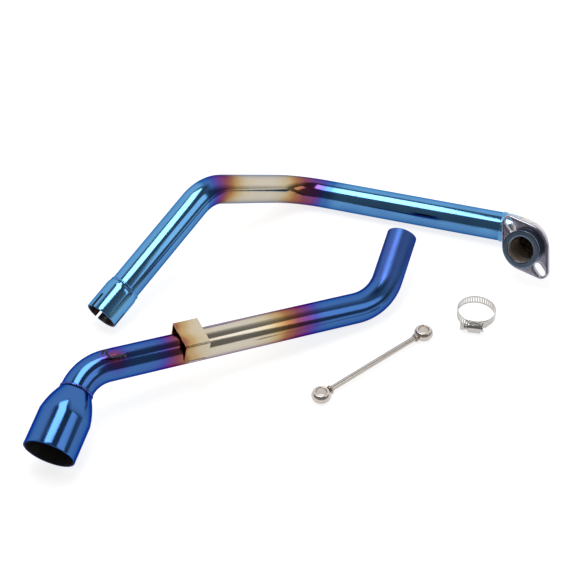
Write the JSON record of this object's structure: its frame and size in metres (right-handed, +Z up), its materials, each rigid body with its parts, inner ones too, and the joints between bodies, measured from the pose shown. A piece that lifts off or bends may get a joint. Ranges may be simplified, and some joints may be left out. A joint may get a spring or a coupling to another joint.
{
  "type": "motorcycle exhaust pipe kit",
  "caption": "Bent header pipe with a loose port flange, link pipe with flared outlet and stand bracket, worm-drive clamp and eyed stay rod, laid out loose.",
  "frame": {"origin": "middle of the kit's footprint, on the floor it lies on", "axes": "+X along the kit's long side towards the port flange, +Y away from the outlet, +Z up"},
  "size_m": [0.5262, 0.4334, 0.0902],
  "materials": {
    "header_heat_blue": "mirror-polished stainless, heat-tinted sky blue with a straw and purple band at the first bend",
    "link_heat_blue": "polished stainless, heat-tinted royal blue with purple edges and a straw middle",
    "polished_steel": "bare polished stainless",
    "straw_steel": "satin stainless with a straw heat tint",
    "hook_steel": "stainless wire, heat-stained",
    "bright_steel": "bright stainless",
    "weld_bead": "rippled weld bead with brown and violet heat stain"
  },
  "bodies": {
    "header": {"header_tube": "header_heat_blue", "slip_collar": "header_heat_blue", "collar_weld": "weld_bead", "port_elbow": "polished_steel", "elbow_weld": "weld_bead", "port_ring": "polished_steel"},
    "flange": {"port_flange": "polished_steel"},
    "link_pipe": {"link_tube": "link_heat_blue", "outlet_cone": "link_heat_blue", "cone_weld": "weld_bead", "stand_bracket": "straw_steel", "bracket_weld_front": "weld_bead", "bracket_weld_rear": "weld_bead", "spring_hook": "hook_steel"},
    "clamp": {"clamp_band": "bright_steel", "clamp_housing": "bright_steel"},
    "screw": {"clamp_screw": "bright_steel"},
    "stay": {"stay_rod": "bright_steel", "stay_eye_left": "bright_steel", "stay_eye_right": "bright_steel", "stay_weld_left": "weld_bead", "stay_weld_right": "weld_bead"}
  },
  "joints": [
    {"name": "port_flange_swivel", "type": "hinge", "parent": "header", "child": "flange", "pos_m": [0.23425, 0.07395, 0.03988], "axis": [-0.5308, -0.7677, 0.3589], "continuous": true},
    {"name": "clamp_screw_turn", "type": "hinge", "parent": "clamp", "child": "screw", "pos_m": [0.17358, -0.01594, 0.00593], "axis": [0.9833, -0.1822, 0], "continuous": true},
    {"name": "link_pipe_lift", "type": "slide", "parent": "header", "child": "link_pipe", "axis": [0, 0, 1], "range_m": [0, 0.15]},
    {"name": "clamp_lift", "type": "slide", "parent": "header", "child": "clamp", "axis": [0, 0, 1], "range_m": [0, 0.1]},
    {"name": "stay_lift", "type": "slide", "parent": "header", "child": "stay", "axis": [0, 0, 1], "range_m": [0, 0.1]}
  ]
}
